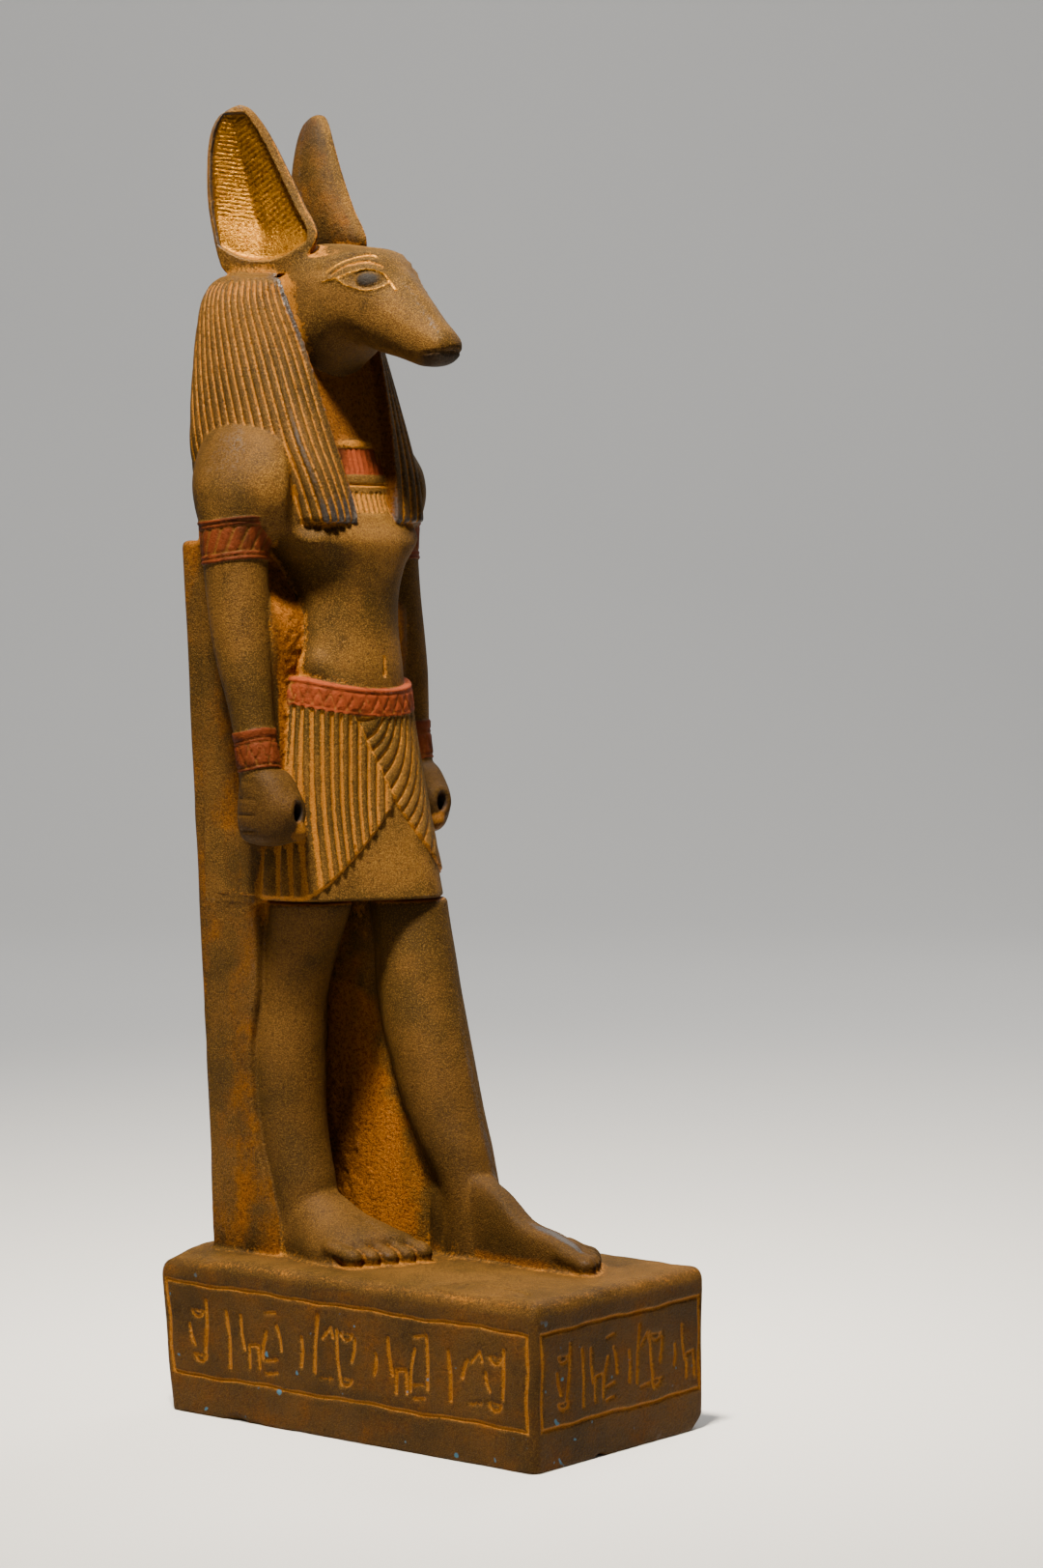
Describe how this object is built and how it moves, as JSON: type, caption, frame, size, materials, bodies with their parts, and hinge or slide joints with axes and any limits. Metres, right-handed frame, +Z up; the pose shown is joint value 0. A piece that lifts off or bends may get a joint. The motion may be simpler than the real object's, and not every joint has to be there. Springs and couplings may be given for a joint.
{
  "type": "jackal-headed striding figure statuette",
  "caption": "Statuette of a striding jackal-headed figure in a pleated kilt and striated wig, with a back slab and a rectangular plinth, all in one piece.",
  "frame": {"origin": "centre of the plinth's underside", "axes": "+Z up; the figure faces -Y; its right side is -X"},
  "size_m": [0.0692, 0.112, 0.3],
  "materials": {
    "patinated_stone": "sandy bronze-brown patina with ochre dust in the recesses, dark rubbed edges, worn red bands and gilt ear hollows"
  },
  "bodies": {
    "root": {"statue": "patinated_stone"}
  },
  "joints": []
}
